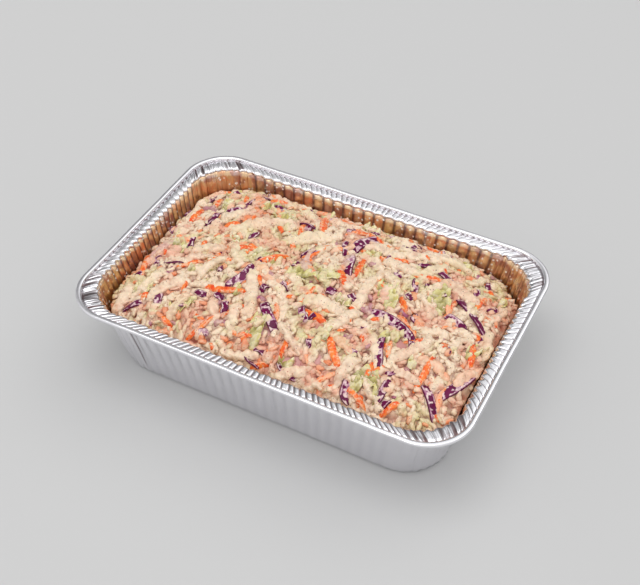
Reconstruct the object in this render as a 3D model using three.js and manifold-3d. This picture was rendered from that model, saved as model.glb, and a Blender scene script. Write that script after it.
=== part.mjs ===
// Coleslaw heaped in a rectangular aluminium foil catering tray.
// Millimetres, +Z up. The origin is the centre of the tray's underside, and X runs along its long side.
// Two pieces: the pressed foil tray, one sheet from its floor to the rolled bead at its rim, and the slaw,
// a dressed mass whose shreds of red cabbage, carrot, white cabbage and green leaf stand out of its top.
import * as THREE from 'three';
import Module from 'manifold-3d';
import { mergeVertices } from 'three/addons/utils/BufferGeometryUtils.js';

const wasm = await Module();
wasm.setup();

// The tray, outside sizes.
const TRAY_LENGTH = 315;
const TRAY_WIDTH = 214;
const TRAY_HEIGHT = 70;
const RIM_CORNER = 36; // corner radius of the bead's outside, and of the mouth
const FLOOR_INSET = 23; // how far the floor's edge lies inside the rim, all round
const FLOOR_CORNER = 34;
const FLANGE_WIDTH = 11; // from the bead's outside to the mouth
const FLANGE_DROP = 3.5; // the mouth's edge lies this far below the bead's top
const BEAD_RADIUS = 1.7;
const BEAD_SECTION = [225, 290, 360, 405, 450, 510]; // where its section has points, in degrees
const FOIL = 0.5;
const FOOT = 3; // the small chamfer where wall and floor meet
const RIB_DEPTH = 0.9; // the wall's upright flutes
const TRAY_RIBS = { long: 24, short: 20, turn: 8 }; // on a long side, a short side and a corner

// The heap of slaw.
const SLAW_GAP = 0.4; // clear of the foil
const SLAW_EDGE = 54; // height where the slaw meets the wall
const SHOULDER_RISE = 13; // the heap climbs this much within SHOULDER_RUN of the wall
const SHOULDER_RUN = 34;
const CROWN_RISE = 7; // and this much more from there to its middle
const DIP_SPREAD = 17; // the heap sinks at the tray's corners and left end, each place by its own depth
const EDGE_DIPS = [
  [1, 1, 13],
  [-1, 1, 4],
  [-1, 0, 2.5],
  [-1, -1, 8],
  [1, -1, 3],
];
const SWELLS = [
  { rise: 1.1, across: 11, skew: 23, shift: 0 },
  { rise: 0.9, across: -31, skew: 9, shift: 1.3 },
];
const CORE_SINK = 1.2; // the bare mass lies this far under the tops of what is on it
const CORE_RINGS = 10;
const CORE_STEPS = { long: 16, short: 10, turn: 5 };

// Shreds that stand out, as [x, y, heading in degrees, length, turn of its curve in degrees].
const RED_CABBAGE = [
  [71, -14, -20, 50, -45],
  [117, 23, -35, 40, -5],
  [16, 55, 66, 30, -10],
  [16, 25, -69, 29, 10],
  [-10, -50, -46, 34, -8],
  [-48, -24, 72, 32, 35],
  [-89, 65, 68, 30, -40],
  [-106, 31, 85, 24, 15],
  [75, 52, -8, 30, -20],
  [-49, -49, -20, 22, 30],
  [67, -78, -45, 18, 60],
  [74, -42, -72, 31, 10],
  [122, -62, -50, 27, 0],
  [110, 10, -18, 20, 20],
  [-112, -74, 42, 17, 0],
];
const CARROT = [
  [-126, 36, -85, 32, 10],
  [-128, -36, -68, 38, 5],
  [-93, -27, 43, 24, 10],
  [-56, -42, 15, 39, 40],
  [-38, 2, 52, 29, 0],
  [-86, 26, 43, 20, 30],
  [-21, 57, -68, 35, 12],
  [21, 7, -54, 23, 0],
  [25, 26, -82, 28, -14],
  [16, -36, -22, 28, 20],
  [44, -57, -50, 33, -10],
  [131, -10, -75, 28, 0],
  [115, 62, -47, 24, -20],
  [110, -48, -90, 40, 8],
  [98, -78, 45, 19, 0],
];
const GREEN_LEAF = [
  [88, 24, -70, 30, 10],
  [-6, -2, 10, 36, 20],
  [76, -66, -80, 22, 30],
  [-14, -63, -75, 30, -10],
  [54, 8, -70, 34, 0],
  [-115, -14, -60, 26, 0],
  [-75, 60, -60, 24, 20],
  [-76, -66, 70, 24, 0],
];
const WHITE_CABBAGE = [
  [-35, -25, -62, 32, 0],
  [22, -23, 2, 48, -10],
  [56, 46, 0, 42, 12],
  [36, 14, 80, 44, 6],
  [-80, -5, -40, 40, 10],
  [-45, 37, 2, 48, -8],
  [80, 70, -10, 34, 0],
  [132, -34, -97, 34, 6],
];

// Section and build of each kind, and how many more of it a seeded rule spreads over the heap.
const KINDS = [
  { placed: WHITE_CABBAGE, more: 24, width: 8, thick: 4, across: 1, wave: 0, span: [20, 34] },
  { placed: GREEN_LEAF, more: 4, width: 14, thick: 1.6, across: 3, wave: 1.3, span: [18, 26] },
  { placed: RED_CABBAGE, more: 8, width: 6.5, thick: 2.2, across: 1, wave: 0, span: [12, 22] },
  { placed: CARROT, more: 12, width: 5, thick: 3, across: 1, wave: 0, span: [12, 26] },
];
const SEED = 2089;
const TRIES = 40; // places tried for each spread shred
const SHRED_STEP = 7; // one step along a shred
const SHRED_RISE = 0.45; // its top stands this share of its thickness over the heap
const END_TUCK = 2.2; // and its ends dive by this many thicknesses
const ROOT = 2.5; // every shred's underside lies at least this far down in the mass
const LEAN = 0.25; // steepest sideways tilt
const WALL_CLEARANCE = 4; // a spread shred's side keeps this far inside the slaw's edge

// A rounded rectangle as closely spaced points, the same number on every ring, so that rings join point to
// point. Each point carries its outward direction.
function ring({ halfX, halfY, corner }, { long, short, turn }) {
  const runX = 2 * (halfX - corner);
  const runY = 2 * (halfY - corner);
  const legs = [
    { at: [halfX, -halfY + corner], along: [0, 1], out: 0, run: runY, count: short },
    { at: [halfX - corner, halfY], along: [-1, 0], out: 90, run: runX, count: long },
    { at: [-halfX, halfY - corner], along: [0, -1], out: 180, run: runY, count: short },
    { at: [-halfX + corner, -halfY], along: [1, 0], out: 270, run: runX, count: long },
  ];
  const points = [];
  for (const leg of legs) {
    const out = THREE.MathUtils.degToRad(leg.out);
    const normal = new THREE.Vector2(Math.cos(out), Math.sin(out));
    const start = new THREE.Vector2(...leg.at);
    const along = new THREE.Vector2(...leg.along);
    for (let i = 0; i < leg.count; i++) {
      const p = start.clone().addScaledVector(along, (leg.run * i) / leg.count);
      points.push({ p, normal });
    }
    const centre = start.clone().addScaledVector(along, leg.run).addScaledVector(normal, -corner);
    for (let i = 0; i < turn; i++) {
      const angle = out + ((Math.PI / 2) * i) / turn;
      const spoke = new THREE.Vector2(Math.cos(angle), Math.sin(angle));
      points.push({ p: centre.clone().addScaledVector(spoke, corner), normal: spoke });
    }
  }
  return points;
}

// A closed skin through rings of equal count, with a fan to a middle point at each end.
function loft(rings, firstMiddle, lastMiddle) {
  const count = rings[0].length;
  const position = rings.flat().flatMap((v) => [v.x, v.y, v.z]);
  position.push(...firstMiddle.toArray(), ...lastMiddle.toArray());
  const first = rings.length * count;
  const last = first + 1;
  const top = (rings.length - 1) * count;
  const index = [];
  for (let i = 0; i < count; i++) {
    const j = (i + 1) % count;
    index.push(first, j, i);
    for (let a = 0; a < top; a += count) {
      const b = a + count;
      index.push(a + i, a + j, b + j, a + i, b + j, b + i);
    }
    index.push(top + i, top + j, last);
  }
  const geometry = new THREE.BufferGeometry();
  geometry.setAttribute('position', new THREE.Float32BufferAttribute(position, 3));
  geometry.setIndex(index);
  return geometry;
}

// The tray's outline at an inset from its rim.
function outlineAt(inset, corner) {
  return { halfX: TRAY_LENGTH / 2 - inset, halfY: TRAY_WIDTH / 2 - inset, corner };
}

// The outline at a height on the wall, this far inside the foil's outer face.
function wallOutline(height, inside = 0) {
  const share = height / (TRAY_HEIGHT - FLANGE_DROP);
  const inset = THREE.MathUtils.lerp(FLOOR_INSET, FLANGE_WIDTH, share);
  return outlineAt(inset + inside, THREE.MathUtils.lerp(FLOOR_CORNER, RIM_CORNER, share));
}

// One ring of the tray. Every other point of a fluted ring is pressed in by the flutes' depth.
function trayRing(outline, height, flute = 0) {
  const { long, short, turn } = TRAY_RIBS;
  const points = ring(outline, { long: 2 * long, short: 2 * short, turn: 2 * turn });
  return points.map(({ p, normal }, i) => {
    const q = p.clone().addScaledVector(normal, i % 2 ? -flute : 0);
    return new THREE.Vector3(q.x, q.y, height);
  });
}

// One ring of the bead, at an angle of its round section: 0 faces out and 90 faces up.
function beadRing(degrees) {
  const angle = THREE.MathUtils.degToRad(degrees);
  const inset = BEAD_RADIUS * (1 - Math.cos(angle));
  const height = TRAY_HEIGHT - BEAD_RADIUS * (1 - Math.sin(angle));
  return trayRing(outlineAt(inset, RIM_CORNER - inset), height);
}

// The foil from the middle of its underside, up its outer face, round the bead, and down inside.
function trayGeometry() {
  const mouth = TRAY_HEIGHT - FLANGE_DROP;
  const rings = [
    trayRing(outlineAt(FLOOR_INSET + FOOT, FLOOR_CORNER - FOOT), 0),
    trayRing(wallOutline(FOOT), FOOT, RIB_DEPTH),
    trayRing(wallOutline(mouth), mouth - FOIL, RIB_DEPTH),
    ...BEAD_SECTION.map(beadRing),
    trayRing(wallOutline(mouth, FOIL), mouth, RIB_DEPTH),
    trayRing(wallOutline(FOOT, FOIL), FOOT + FOIL, RIB_DEPTH),
    trayRing(outlineAt(FLOOR_INSET + FOOT + FOIL, FLOOR_CORNER - FOOT), FOIL),
  ];
  return loft(rings, new THREE.Vector3(0, 0, 0), new THREE.Vector3(0, 0, FOIL));
}

// The slaw's outline at a height, clear of the foil's flutes.
function slawOutline(height) {
  return wallOutline(height, FOIL + RIB_DEPTH + SLAW_GAP);
}

// Distance from a plan point to the slaw's edge, positive inside.
function insideBy(x, y) {
  const { halfX, halfY, corner } = slawOutline(SLAW_EDGE);
  const qx = Math.abs(x) - (halfX - corner);
  const qy = Math.abs(y) - (halfY - corner);
  return corner - Math.hypot(Math.max(qx, 0), Math.max(qy, 0)) - Math.min(Math.max(qx, qy), 0);
}

// Height of the heap's top over a plan point: its edge, shoulder, crown and slack places, with slow
// swells where the slaw was spooned in.
function heap(x, y) {
  const { halfX, halfY } = slawOutline(SLAW_EDGE);
  const climb = THREE.MathUtils.clamp(insideBy(x, y) / SHOULDER_RUN, 0, 1);
  const shoulder = SHOULDER_RISE * Math.sin((climb * Math.PI) / 2);
  const crown = CROWN_RISE * (1 - (x / halfX) ** 2) * (1 - (y / halfY) ** 2);
  let height = SLAW_EDGE + shoulder + crown;
  for (const [sideX, sideY, depth] of EDGE_DIPS) {
    const away = Math.hypot(x - sideX * (halfX - DIP_SPREAD), y - sideY * (halfY - DIP_SPREAD));
    height -= depth * Math.exp(-0.5 * (away / DIP_SPREAD) ** 2);
  }
  for (const { rise, across, skew, shift } of SWELLS) {
    height += climb * rise * Math.sin(x / across + y / skew + shift);
  }
  return height;
}

// The mass without its shreds: the tray's inside up to the slaw's edge, and the heap over it.
function coreGeometry() {
  const level = (outline, height) =>
    ring(outline, CORE_STEPS).map(({ p }) => new THREE.Vector3(p.x, p.y, height));
  const bare = (x, y) => new THREE.Vector3(x, y, heap(x, y) - CORE_SINK);
  const floor = FOIL + SLAW_GAP;
  const edge = ring(slawOutline(SLAW_EDGE), CORE_STEPS).map(({ p }, i) => {
    const height = heap(p.x, p.y) - CORE_SINK;
    const wall = ring(slawOutline(height), CORE_STEPS)[i].p;
    return new THREE.Vector3(wall.x, wall.y, height);
  });
  const rings = [
    level(outlineAt(FLOOR_INSET + 2 * FOOT, FLOOR_CORNER - 2 * FOOT), floor),
    level(slawOutline(2 * FOOT), 2 * FOOT),
    edge,
  ];
  for (let r = CORE_RINGS - 1; r >= 1; r--) {
    const share = Math.sin((r / CORE_RINGS) * (Math.PI / 2));
    rings.push(edge.map(({ x, y }) => bare(x * share, y * share)));
  }
  return loft(rings, new THREE.Vector3(0, 0, floor), bare(0, 0));
}

// A shred or leaf lying on the heap along a plan arc. Its two faces are split alike, its ends tuck into
// the mass, and a leaf is wavy across and along.
function shredGeometry([x, y, heading, length, turn], kind, lean) {
  const steps = Math.max(3, Math.round(length / SHRED_STEP));
  const facing = THREE.MathUtils.degToRad(heading);
  const turning = THREE.MathUtils.degToRad(turn);
  const sections = [];
  for (let i = 0; i <= steps; i++) {
    const share = i / steps - 0.5;
    const middle = new THREE.Vector2(length * share, 0);
    middle.rotateAround(new THREE.Vector2(), facing + (turning * share) / 2);
    const side = new THREE.Vector2(0, 1).rotateAround(new THREE.Vector2(), facing + turning * share);
    const width = kind.width * (1 - 0.5 * (2 * share) ** 4);
    const rise = kind.thick * (SHRED_RISE - END_TUCK * (2 * share) ** 6);
    const under = [];
    const over = [];
    for (let j = 0; j <= kind.across; j++) {
      const off = (j / kind.across - 0.5) * width;
      const px = x + middle.x + side.x * off;
      const py = y + middle.y + side.y * off;
      const ripple = kind.wave * Math.sin(3.1 * i + 2.3 * j);
      const height = heap(px, py) + rise + ripple + lean * off;
      const root = heap(px, py) - CORE_SINK - ROOT;
      over.unshift(new THREE.Vector3(px, py, height));
      under.push(new THREE.Vector3(px, py, Math.min(height - kind.thick, root)));
    }
    sections.push([...under, ...over]);
  }
  const centre = (section) => {
    const sum = section.reduce((total, v) => total.add(v), new THREE.Vector3());
    return sum.divideScalar(section.length);
  };
  return loft(sections, centre(sections[0]), centre(sections[steps]));
}

// Whether a shred's sides keep clear of the tray's wall at both ends and its middle.
function fits([x, y, heading, length], width) {
  const facing = THREE.MathUtils.degToRad(heading);
  return [-0.5, 0, 0.5].every((share) => {
    const px = x + Math.cos(facing) * length * share;
    const py = y + Math.sin(facing) * length * share;
    return insideBy(px, py) > WALL_CLEARANCE + width / 2;
  });
}

// More shreds of a kind: each is the one of several tries that lies furthest from all that is there.
function spread(kind, taken, random) {
  const { halfX, halfY } = slawOutline(SLAW_EDGE);
  const added = [];
  while (added.length < kind.more) {
    let best = { room: 0 };
    for (let t = 0; t < TRIES; t++) {
      const x = (2 * random() - 1) * halfX;
      const y = (2 * random() - 1) * halfY;
      const length = THREE.MathUtils.lerp(...kind.span, random());
      const shred = [x, y, 180 * random(), length, 60 * (random() - 0.5)];
      const room = Math.min(...taken.map((other) => Math.hypot(other[0] - x, other[1] - y)));
      if (fits(shred, kind.width) && room > best.room) best = { shred, room };
    }
    if (best.shred) {
      added.push(best.shred);
      taken.push(best.shred);
    }
  }
  return added;
}

function solidOf(geometry) {
  const merged = mergeVertices(geometry, 1e-4);
  const vertProperties = new Float32Array(merged.attributes.position.array);
  const triVerts = new Uint32Array(merged.index.array);
  return new wasm.Manifold(new wasm.Mesh({ numProp: 3, vertProperties, triVerts }));
}

function geometryOf(solid) {
  const { vertProperties, triVerts } = solid.getMesh();
  const geometry = new THREE.BufferGeometry();
  geometry.setAttribute('position', new THREE.BufferAttribute(vertProperties, 3));
  geometry.setIndex(new THREE.BufferAttribute(triVerts, 1));
  return geometry;
}

// The core and every shred, joined into one solid.
function slawGeometry() {
  THREE.MathUtils.seededRandom(SEED);
  const random = () => THREE.MathUtils.seededRandom();
  const taken = KINDS.flatMap((kind) => kind.placed);
  let slaw = solidOf(coreGeometry());
  for (const kind of KINDS) {
    for (const shred of [...kind.placed, ...spread(kind, taken, random)]) {
      const lean = LEAN * (2 * random() - 1);
      slaw = slaw.add(solidOf(shredGeometry(shred, kind, lean)));
    }
  }
  return geometryOf(slaw);
}

// A mesh with flat-shaded faces of its own.
function piece(name, geometry, finish) {
  const faces = geometry.toNonIndexed();
  faces.computeVertexNormals();
  const mesh = new THREE.Mesh(faces, new THREE.MeshStandardMaterial(finish));
  mesh.name = name;
  return mesh;
}

const part = new THREE.Group();
part.add(
  piece('foil_tray', trayGeometry(), { color: 0xc9cacc, roughness: 0.32, metalness: 1 }),
  piece('coleslaw', slawGeometry(), { color: 0xe3cfae, roughness: 0.45, metalness: 0 }),
);

export default part;
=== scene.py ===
import bpy
import numpy as np
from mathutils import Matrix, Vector


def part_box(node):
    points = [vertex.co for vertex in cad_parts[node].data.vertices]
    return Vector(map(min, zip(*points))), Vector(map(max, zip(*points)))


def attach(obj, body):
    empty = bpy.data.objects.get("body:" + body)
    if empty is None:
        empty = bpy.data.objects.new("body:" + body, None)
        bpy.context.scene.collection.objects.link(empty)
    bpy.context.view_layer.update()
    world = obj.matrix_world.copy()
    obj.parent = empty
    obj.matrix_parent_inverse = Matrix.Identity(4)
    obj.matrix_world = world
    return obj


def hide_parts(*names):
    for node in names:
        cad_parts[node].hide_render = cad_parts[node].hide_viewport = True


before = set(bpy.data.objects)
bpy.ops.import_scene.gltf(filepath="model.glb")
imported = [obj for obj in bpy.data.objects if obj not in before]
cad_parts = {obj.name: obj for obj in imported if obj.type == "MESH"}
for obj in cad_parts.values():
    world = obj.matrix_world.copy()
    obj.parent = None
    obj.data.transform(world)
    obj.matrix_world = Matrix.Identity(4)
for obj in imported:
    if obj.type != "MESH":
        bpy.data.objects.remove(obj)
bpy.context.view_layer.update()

# The camera stands in front of the tray, to the right of its middle, and looks down on it as a guest at a
# counter does. Its place and its lens were fitted to the tray's rim, walls and floor line.
CAMERA_AZIMUTH = np.radians(27.568)
CAMERA_ELEVATION = np.radians(43.974)
CAMERA_DISTANCE = 905.4
CAMERA_TARGET = np.array([-23.91, 55.23, 0.0])
FOCAL_PIXELS = 1090.75
PICTURE_WIDTH = 640

camera_back = np.array(
    [
        np.sin(CAMERA_AZIMUTH) * np.cos(CAMERA_ELEVATION),
        -np.cos(CAMERA_AZIMUTH) * np.cos(CAMERA_ELEVATION),
        np.sin(CAMERA_ELEVATION),
    ]
)
camera = bpy.data.objects.new("camera", bpy.data.cameras.new("camera"))
camera.data.lens = camera.data.sensor_width * FOCAL_PIXELS / PICTURE_WIDTH
camera.location = (CAMERA_TARGET + camera_back * CAMERA_DISTANCE) / 1000
camera.rotation_euler = Vector(camera_back).to_track_quat("Z", "Y").to_euler()
bpy.context.scene.collection.objects.link(camera)
bpy.context.scene.camera = camera

# The tray is one sheet of aluminium foil pressed between dies: a flat floor, flared walls stiffened by
# upright flutes, pleats where the sheet gathers at its corners, a crimped flange, and a bead rolled over at
# the rim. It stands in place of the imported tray, at the same sizes.
tray_low, tray_high = (np.array(corner) * 1000 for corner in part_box("foil_tray"))
RIM_HALF = (tray_high - tray_low)[:2] / 2
TRAY_HEIGHT = tray_high[2]
RIM_CORNER = 36
FLOOR_INSET = 23
FLOOR_CORNER = 34
MOUTH_INSET = 11
MOUTH_HEIGHT = TRAY_HEIGHT - 3.5
# The corner's radius at some insets from the rim, with straight stretches between them.
CORNERS = ((0, RIM_CORNER), (3.4, 32.6), (MOUTH_INSET, RIM_CORNER), (FLOOR_INSET, FLOOR_CORNER), (80, 6))
BEAD_HALF = (2.0, 1.6)
BEAD_SQUARENESS = 0.8
FOIL = 0.35
# Values for each kind of leg of the way round: the short sides, the long sides and the corners.
LEG_LENGTHS = {"short": 142, "long": 243, "corner": 56.5}
FLUTES = {"short": 20, "long": 24, "corner": 9}
FLUTE_DEPTHS = {"short": 2.1, "long": 1.0, "corner": 0.9}
CRIMPS = {"short": 23, "long": 50, "corner": 12}
BODY_STATIONS = {"short": 200, "long": 330, "corner": 130}
RIM_STATIONS = {"short": 330, "long": 560, "corner": 190}
PLEAT_SIZES = (1.9, 1.05)
PLEAT_DEPTH = 0.75
CRUMPLE_DEPTH = 0.22
CORNER_SAG = 0.5
# Sharp folds near the front wall's left end: share of the side, depth, and height of the fold's foot.
FRONT_FOLDS = ((0.010, 0.9, 0.08), (0.034, 0.5, 0.35), (0.062, 0.3, 0.45))
FOLD_WIDTH = 1.3
# How many times wider the crimps are on two of the flanges.
CRIMP_WIDTH = {"left": 1.5, "right": 0.62}
NICK_REACH = 6.6
# Slow bends of the thin sheet: how far, over what distance, and the noise's seed.
WALL_BENDS = ((0.4, 46, 14), (0.16, 13, 15))
RIM_BENDS = ((0.2, 31, 16),)


def rumple(points, size, seed):
    """Smooth noise from -1 to 1 at points of three coordinates.

    Random values stand on a cubic lattice of the given size, and are blended between its eight nearest
    points with the weights 3t² - 2t³.
    """
    table = np.random.default_rng(seed).uniform(-1, 1, (32, 32, 32))
    cell = np.floor(points / size).astype(int)
    share = points / size - cell
    share = share * share * (3 - 2 * share)
    value = 0
    for corner in np.ndindex(2, 2, 2):
        i, j, k = np.moveaxis((cell + corner) % 32, -1, 0)
        weight = np.prod(np.where(corner, share, 1 - share), axis=-1)
        value = value + weight * table[i, j, k]
    return value


def skin(grid, ring=False):
    """Vertices, quads and triangles of tubes given as a grid of (tubes, rows, columns, 3).

    A row is a closed loop of columns, and neighbouring rows are joined by quads. On a ring the last row
    joins the first, and otherwise a fan to the mean of its last row closes each end.
    """
    tubes, rows, columns, _ = grid.shape
    here = np.arange(rows * columns).reshape(rows, columns)
    beside = np.roll(here, -1, axis=1)
    quads = np.stack([here[:-1], beside[:-1], beside[1:], here[1:]], axis=-1).reshape(-1, 4)
    if ring:
        last = np.stack([here[-1], beside[-1], beside[0], here[0]], axis=-1)
        return grid.reshape(-1, 3), np.concatenate([quads, last]), np.empty((0, 3), dtype=int)
    poles = grid[:, [0, -1]].mean(axis=2)
    points = np.concatenate([grid.reshape(tubes, -1, 3), poles], axis=1)
    pole = np.full(columns, rows * columns)
    first_fan = np.stack([pole, beside[0], here[0]], axis=-1)
    last_fan = np.stack([pole + 1, here[-1], beside[-1]], axis=-1)
    fans = np.concatenate([first_fan, last_fan])
    offset = points.shape[1] * np.arange(tubes)[:, None, None]
    return points.reshape(-1, 3), (quads + offset).reshape(-1, 4), (fans + offset).reshape(-1, 3)


def solid(name, points, quads, triangles, **attributes):
    """A smooth mesh object from points in millimetres. Each keyword is an attribute of its points."""
    mesh = bpy.data.meshes.new(name)
    corners = np.concatenate([quads.ravel(), triangles.ravel()])
    sizes = np.repeat([4, 3], [len(quads), len(triangles)])
    mesh.vertices.add(len(points))
    mesh.vertices.foreach_set("co", (points / 1000).ravel())
    mesh.loops.add(len(corners))
    mesh.loops.foreach_set("vertex_index", corners)
    mesh.polygons.add(len(sizes))
    mesh.polygons.foreach_set("loop_start", np.cumsum(sizes) - sizes)
    mesh.polygons.foreach_set("loop_total", sizes)
    mesh.update(calc_edges=True)
    mesh.shade_smooth()
    for key, values in attributes.items():
        if values.ndim == 1:
            mesh.attributes.new(key, "FLOAT", "POINT").data.foreach_set("value", values)
        else:
            rgba = np.concatenate([values, np.ones((len(values), 1))], axis=1)
            mesh.attributes.new(key, "FLOAT_COLOR", "POINT").data.foreach_set("color", rgba.ravel())
    piece = bpy.data.objects.new(name, mesh)
    bpy.context.scene.collection.objects.link(piece)
    return piece


class Shade:
    """A socket of a material's nodes. Arithmetic on it adds Math nodes."""

    def __init__(self, tree, socket=None):
        self.tree = tree
        self.socket = socket

    def node(self, kind, settings=None, inputs=None, output=0):
        """Adds a node of a type, with its settings first and then its sockets' values or links."""
        node = self.tree.nodes.new("ShaderNode" + kind)
        for key, setting in (settings or {}).items():
            setattr(node, key, setting)
        for key, value in (inputs or {}).items():
            if isinstance(value, Shade):
                self.tree.links.new(value.socket, node.inputs[key])
            else:
                node.inputs[key].default_value = value
        return Shade(self.tree, node.outputs[output] if node.outputs else None)

    def math(self, operation, *values):
        """Adds a Math node of an operation on values or sockets."""
        return self.node("Math", {"operation": operation}, dict(enumerate(values)))

    def __add__(self, other):
        return self.math("ADD", self, other)

    def __sub__(self, other):
        return self.math("SUBTRACT", self, other)

    def __rsub__(self, other):
        return self.math("SUBTRACT", other, self)

    def __mul__(self, other):
        return self.math("MULTIPLY", self, other)

    __radd__ = __add__
    __rmul__ = __mul__

    def rise(self, low, high):
        """0 below low, 1 above high, and a smooth step between."""
        limits = {"Value": self, "From Min": low, "From Max": high}
        return self.node("MapRange", {"interpolation_type": "SMOOTHSTEP"}, limits)

    def mix(self, colour, other):
        """From colour to other as this value goes from 0 to 1."""
        return self.node("Mix", {"data_type": "RGBA"}, {0: self, 6: colour, 7: other}, output=2)

    def mark(self, name, output="Fac"):
        """An attribute of the piece's own points."""
        return self.node("Attribute", {"attribute_name": name}, output=output)

    def place(self, scale):
        """The piece's own coordinates, in metres, times a scale."""
        place = self.node("TexCoord", output="Object")
        return self.node("VectorMath", {"operation": "SCALE"}, {0: place, "Scale": scale})

    def noise(self, size, detail):
        """Noise from 0 to 1 with patches of a size in millimetres, on the piece's own coordinates."""
        place = self.place(1000 / size)
        return self.node("TexNoise", {}, {"Vector": place, "Scale": 1.0, "Detail": detail})

    def specks(self, spacing, size, seed):
        """1 in round dots of about a size, a spacing apart, and 0 around them, both in millimetres."""
        place = self.place(1000 / spacing)
        place = self.node("VectorMath", {"operation": "ADD"}, {0: place, 1: (seed, seed, seed)})
        away = self.node("TexVoronoi", {}, {"Vector": place, "Scale": 1.0}, output="Distance")
        return 1 - away.rise(0.35 * size / spacing, 0.65 * size / spacing)

    def bump(self, height, depth):
        """The normal of a surface raised by height, which runs from 0 to 1, times depth in millimetres."""
        return self.node("Bump", {}, {"Height": height, "Distance": depth / 1000})

    def surface(self, **inputs):
        """The material's surface: a Principled BSDF whose sockets are the keywords, with _ for a space."""
        named = {key.replace("_", " "): value for key, value in inputs.items()}
        shader = self.node("BsdfPrincipled", {}, named)
        self.node("OutputMaterial", {}, {"Surface": shader})


def finish(name):
    """A new material and the start of its nodes."""
    material = bpy.data.materials.new(name)
    material.use_nodes = True
    material.node_tree.nodes.clear()
    return material, Shade(material.node_tree)


def colour(red, green, blue):
    """A colour as a picture gives it, 0 to 255, in the linear values that a shader takes."""
    share = np.array([red, green, blue]) / 255
    linear = np.where(share <= 0.04045, share / 12.92, ((share + 0.055) / 1.055) ** 2.4)
    return (*linear.tolist(), 1.0)


def stations_around(counts):
    """Stations round the rim: outward angle, signs of the corner centre, share of the leg, leg's kind.

    A leg is a straight side or a corner. Along a side the corner centre's signs run from one corner to the
    next at a fixed angle, and round a corner they stand still while the angle turns by 90 degrees.
    """
    signs = np.array([(1, -1), (1, 1), (-1, 1), (-1, -1), (1, -1)], dtype=float)
    legs = []
    for quarter in range(4):
        side = ("short", "long")[quarter % 2]
        share = np.arange(counts[side]) / counts[side]
        sign = signs[quarter] + (signs[quarter + 1] - signs[quarter]) * share[:, None]
        angle = np.full(len(share), quarter * 90.0)
        legs.append((angle, sign, share, np.full(len(share), side), np.full(len(share), quarter)))
        share = np.arange(counts["corner"]) / counts["corner"]
        sign = np.repeat(signs[quarter + 1][None], len(share), axis=0)
        angle = quarter * 90 + 90 * share
        legs.append((angle, sign, share, np.full(len(share), "corner"), np.full(len(share), quarter)))
    angle, sign, share, kind, quarter = (np.concatenate(column) for column in zip(*legs))
    return np.radians(angle), sign, share, kind, quarter


def wall_inset(height):
    """How far the wall's outer face stands in from the rim at a height: a straight flare."""
    return FLOOR_INSET + (MOUTH_INSET - FLOOR_INSET) * height / MOUTH_HEIGHT


def body_profile():
    """The section of the floor and walls, from the middle of the underside out, up, over and back inside.

    Columns: inset from the rim, height, share of the flutes, share of the crimps, 1 on the inside, and
    the strength of painted shade along a line that runs round the rim.
    """
    wall = np.linspace(3, MOUTH_HEIGHT - 1.1, 13)
    under = [(80, 0, 0, 0, 0, 0), (30, 0, 0, 0, 0, 0), (26.2, 0, 0, 0, 0, 0)]
    foot = [(24.6, 0.35, 0.3, 0, 0, 0), (23.3, 1.5, 0.8, 0, 0, 0)]
    outer = [(wall_inset(height), height, 1, 0, 0, 0) for height in wall]
    inner = [(wall_inset(height) + FOIL, height, 1, 0, 1, 0) for height in wall[::-1]]
    floor = [(24.4, 1.4, 0.3, 0, 1, 0), (27, FOIL, 0, 0, 1, 0), (80, FOIL, 0, 0, 1, 0)]
    return np.array(under + foot + outer + inner + floor, dtype=float).T


def rim_profile():
    """The section of the flange and its bead, a closed loop that laps the wall's top edge on both sides.

    Columns as in body_profile. The bead is a flattened oval, whose top is the tray's full height.
    """
    eaves = [
        (11.3, 63.6, 1, 0, 0, 0),
        (11.0, 65.0, 1, 0, 0, 0),
        (10.6, 66.0, 1, 0.4, 0, 0),
        (9.4, 66.5, 0.7, 0.8, 0, 0),
        (7.6, 66.9, 0.35, 0.8, 0, 0),
        (5.6, 67.0, 0.1, 0.8, 0, 0),
        (4.3, 67.05, 0, 0.5, 0, 0.5),
    ]
    turn = np.radians(np.linspace(-125, 205, 16))
    across = np.sign(np.cos(turn)) * np.abs(np.cos(turn)) ** BEAD_SQUARENESS
    over = np.sign(np.sin(turn)) * np.abs(np.sin(turn)) ** BEAD_SQUARENESS
    bead_inset = BEAD_HALF[0] * (1 - across)
    bead_height = TRAY_HEIGHT - BEAD_HALF[1] * (1 - over)
    bead = [(inset, height, 0, 0, 0, 0) for inset, height in zip(bead_inset, bead_height)]
    flange = [
        (4.15, 67.2, 0, 0.2, 0, 0.9),
        (4.5, 67.65, 0, 0.9, 0, 0.3),
        (5.2, 68.0, 0, 1.2, 0, 0),
        (6.6, 68.05, 0.1, 1.0, 0, 0),
        (8.0, 68.05, 0.3, 0.9, 0, 0),
        (9.2, 67.95, 0.6, 0.9, 0, 0),
        (10.1, 67.7, 0.9, 0.8, 0, 0),
        (10.7, 67.3, 1, 0.5, 0, 0),
        (11.05, 66.8, 1, 0.1, 0, 0),
        (11.25, 66.1, 1, 0, 0, 0),
        (11.38, 65.5, 1, 0, 0, 0.7),
        (11.4, 64.8, 1, 0, 0, 1),
    ]
    return np.array(eaves + bead + flange, dtype=float).T


def per_leg(values, kind):
    """A value for each station, from one for each kind of leg."""
    return np.array([values[leg] for leg in kind])


def pleats(along, inset, quarter):
    """How far the sheet's pleats stand in at its corners: noise of two sizes along the rim.

    The noise changes only a little with the inset, so each pleat runs up the wall and across the flange.
    """
    up = np.broadcast_to(inset * 0.10 + quarter * 40, along.shape)
    place = np.stack([along, up, along * 0], axis=-1)
    return rumple(place, PLEAT_SIZES[0], 11) + 0.6 * rumple(place, PLEAT_SIZES[1], 12)


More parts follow.
